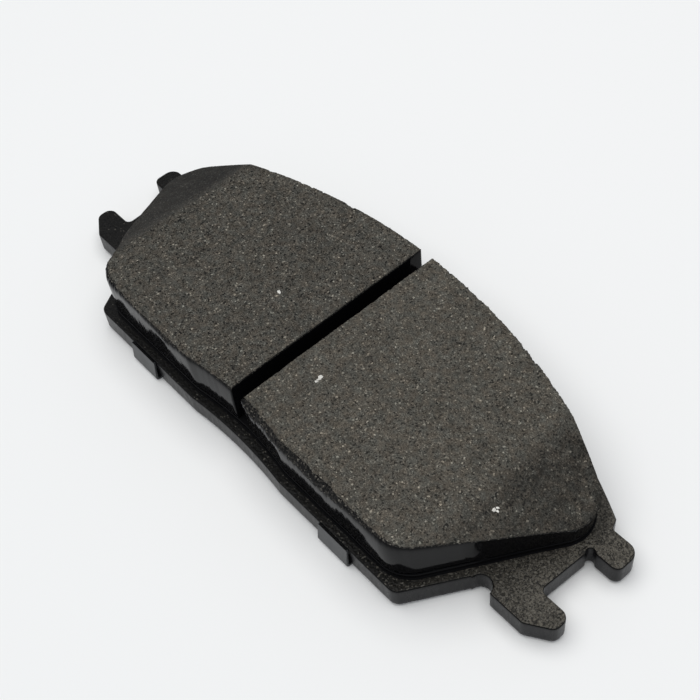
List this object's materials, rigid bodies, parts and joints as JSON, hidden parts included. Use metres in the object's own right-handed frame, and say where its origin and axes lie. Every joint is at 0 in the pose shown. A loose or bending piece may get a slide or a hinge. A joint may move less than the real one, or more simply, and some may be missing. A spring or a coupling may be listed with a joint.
{
  "type": "brake pad",
  "caption": "Disc brake pad with a stamped steel backing plate, slotted friction material with chamfered ends, and a clip-over shim.",
  "frame": {"origin": "middle of the pad's footprint, on the back face of the shim", "axes": "+X along the pad, +Y towards the outer arc of the disc, +Z out of the friction face"},
  "size_m": [0.147, 0.059, 0.018],
  "materials": {
    "plate_paint": "satin black paint over a fine grit-blasted texture",
    "underlayer_compound": "smooth moulded composite, nearly black",
    "friction_compound": "granular ground composite with dark pits and light metallic flecks",
    "damping_rubber": "matt bonded rubber",
    "shim_coating": "thin satin rubberised coating on steel sheet"
  },
  "bodies": {
    "root": {"backing_plate": "plate_paint", "underlayer": "underlayer_compound", "friction_block_left": "friction_compound", "friction_block_right": "friction_compound", "damping_layer": "damping_rubber", "shim": "shim_coating"}
  },
  "joints": []
}
